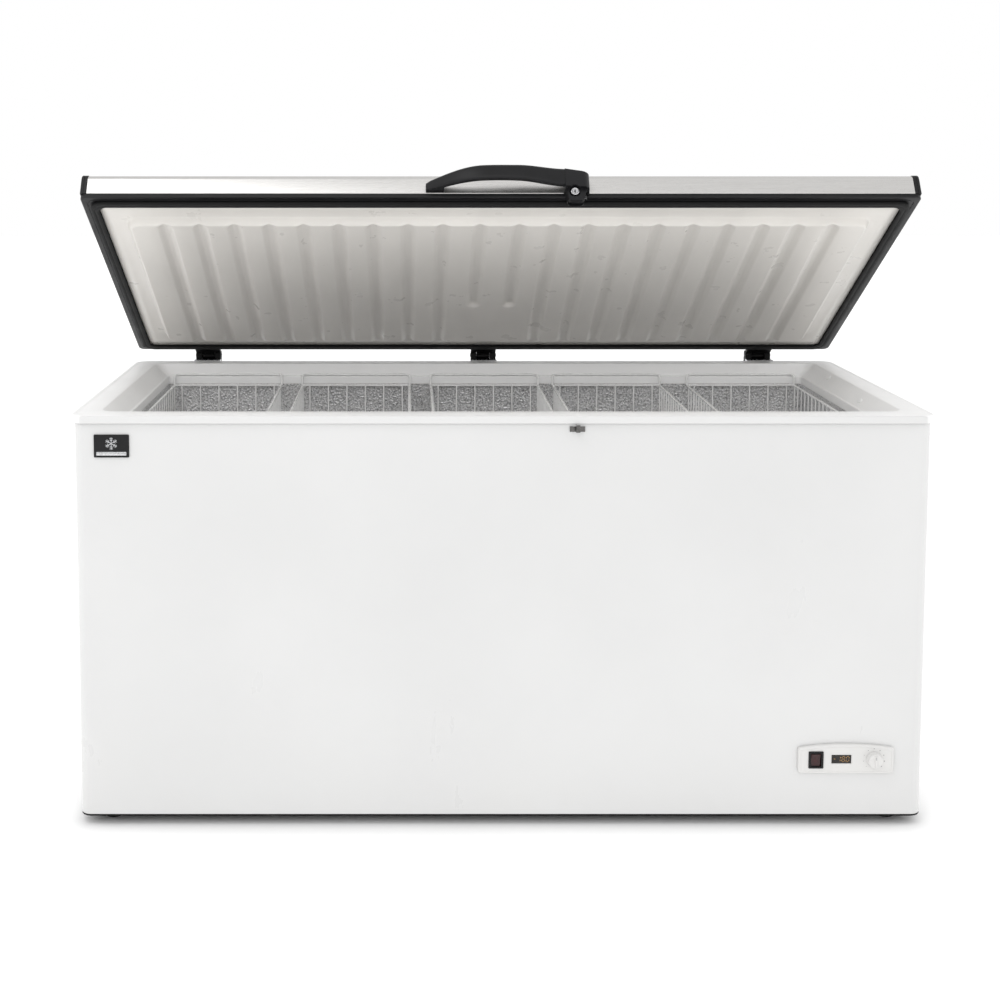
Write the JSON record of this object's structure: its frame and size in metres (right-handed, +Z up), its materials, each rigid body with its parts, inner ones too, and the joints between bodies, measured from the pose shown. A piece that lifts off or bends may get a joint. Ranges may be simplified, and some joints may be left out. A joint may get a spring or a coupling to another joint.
{
  "type": "chest freezer",
  "caption": "Large white chest freezer with a steel-topped insulated lid held half open, hanging wire baskets, a bowed lockable handle and a small control panel.",
  "frame": {"origin": "on the floor under the middle of the bounding box", "axes": "+X to the right along the width, +Y from the front to the hinged back, +Z up"},
  "size_m": [1.65, 0.8033, 1.2802],
  "materials": {
    "painted_white": "smooth gloss powder coat",
    "white_plastic": "satin moulded",
    "embossed_aluminium": "stucco embossed",
    "insulation": "rigid foam",
    "copper_tube": "drawn tube",
    "black_steel": "satin black",
    "brushed_steel": "brushed along the width",
    "bright_steel": "bright plated",
    "black_plastic": "satin moulded",
    "black_rubber": "matte",
    "white_wire": "plastic-coated wire",
    "red_plastic": "gloss",
    "display_window": "smoked window"
  },
  "bodies": {
    "cabinet": {"outer_shell": "painted_white", "rear_panel": "painted_white", "base_pan": "black_steel", "rim_frame": "white_plastic", "inner_liner": "embossed_aluminium", "foam_core": "insulation", "evaporator_coil": "copper_tube", "condenser_coil": "copper_tube", "compressor_shell": "black_steel", "compressor_mount_1": "black_rubber", "compressor_mount_2": "black_rubber", "compressor_mount_3": "black_rubber", "compressor_mount_4": "black_rubber", "terminal_cover": "black_plastic", "filter_drier": "copper_tube", "suction_line": "copper_tube", "compressor_grille": "white_plastic", "foot_1": "black_rubber", "foot_2": "black_rubber", "foot_3": "black_rubber", "foot_4": "black_rubber", "drain_sleeve": "white_plastic", "power_gland": "black_rubber", "control_bezel": "white_plastic", "switch_housing": "black_plastic", "display_module": "black_plastic", "display_window": "display_window", "thermostat_body": "bright_steel", "badge_plate": "black_plastic", "lock_keeper": "bright_steel", "hinge_base_1": "black_steel", "hinge_base_2": "black_steel", "hinge_base_3": "black_steel", "hinge_pin_1": "bright_steel", "hinge_pin_2": "bright_steel", "hinge_pin_3": "bright_steel", "hinge_spring_1": "bright_steel", "hinge_spring_2": "bright_steel", "hinge_spring_3": "bright_steel"},
    "lid": {"lid_top_skin": "brushed_steel", "lid_end_rail_left": "black_plastic", "lid_end_rail_right": "black_plastic", "lid_frame": "black_plastic", "lid_gasket": "black_rubber", "lid_liner": "white_plastic", "lid_foam": "insulation", "handle_grip": "black_plastic", "lock_housing": "black_plastic", "hinge_arm_1": "black_steel", "hinge_arm_2": "black_steel", "hinge_arm_3": "black_steel"},
    "lock": {"lock_barrel": "bright_steel"},
    "knob": {"thermostat_knob": "white_plastic"},
    "rocker": {"power_rocker": "red_plastic"},
    "plug": {"drain_plug": "black_rubber"},
    "basket_1": {"basket_1": "white_wire"},
    "basket_2": {"basket_2": "white_wire"},
    "basket_3": {"basket_3": "white_wire"},
    "basket_4": {"basket_4": "white_wire"},
    "basket_5": {"basket_5": "white_wire"}
  },
  "joints": [
    {"name": "lid_hinge", "type": "hinge", "parent": "cabinet", "child": "lid", "pos_m": [0, 0.3895, 0.815], "axis": [-1, 0, 0], "range_deg": [-31.3, 43.7]},
    {"name": "lock_turn", "type": "hinge", "parent": "lid", "child": "lock", "pos_m": [0.141, -0.29752, 1.22745], "axis": [0, 0.8545, -0.5195], "range_deg": [0, 90]},
    {"name": "thermostat_turn", "type": "hinge", "parent": "cabinet", "child": "knob", "pos_m": [0.7195, -0.3853, 0.135], "axis": [0, 1, 0], "range_deg": [0, 270]},
    {"name": "rocker_tilt", "type": "hinge", "parent": "cabinet", "child": "rocker", "pos_m": [0.6075, -0.3818, 0.1335], "axis": [1, 0, 0], "range_deg": [-14, 0]},
    {"name": "plug_pull", "type": "slide", "parent": "cabinet", "child": "plug", "axis": [0, 0, 1], "range_m": [0, 0.03]},
    {"name": "basket_1_slide", "type": "slide", "parent": "cabinet", "child": "basket_1", "axis": [1, 0, 0], "range_m": [-0.008, 0.018]},
    {"name": "basket_2_slide", "type": "slide", "parent": "cabinet", "child": "basket_2", "axis": [1, 0, 0], "range_m": [-0.02, 0.02]},
    {"name": "basket_3_slide", "type": "slide", "parent": "cabinet", "child": "basket_3", "axis": [1, 0, 0], "range_m": [-0.02, 0.013]},
    {"name": "basket_4_slide", "type": "slide", "parent": "cabinet", "child": "basket_4", "axis": [1, 0, 0], "range_m": [-0.013, 0.026]},
    {"name": "basket_5_slide", "type": "slide", "parent": "cabinet", "child": "basket_5", "axis": [1, 0, 0], "range_m": [-0.026, 0.012]}
  ]
}
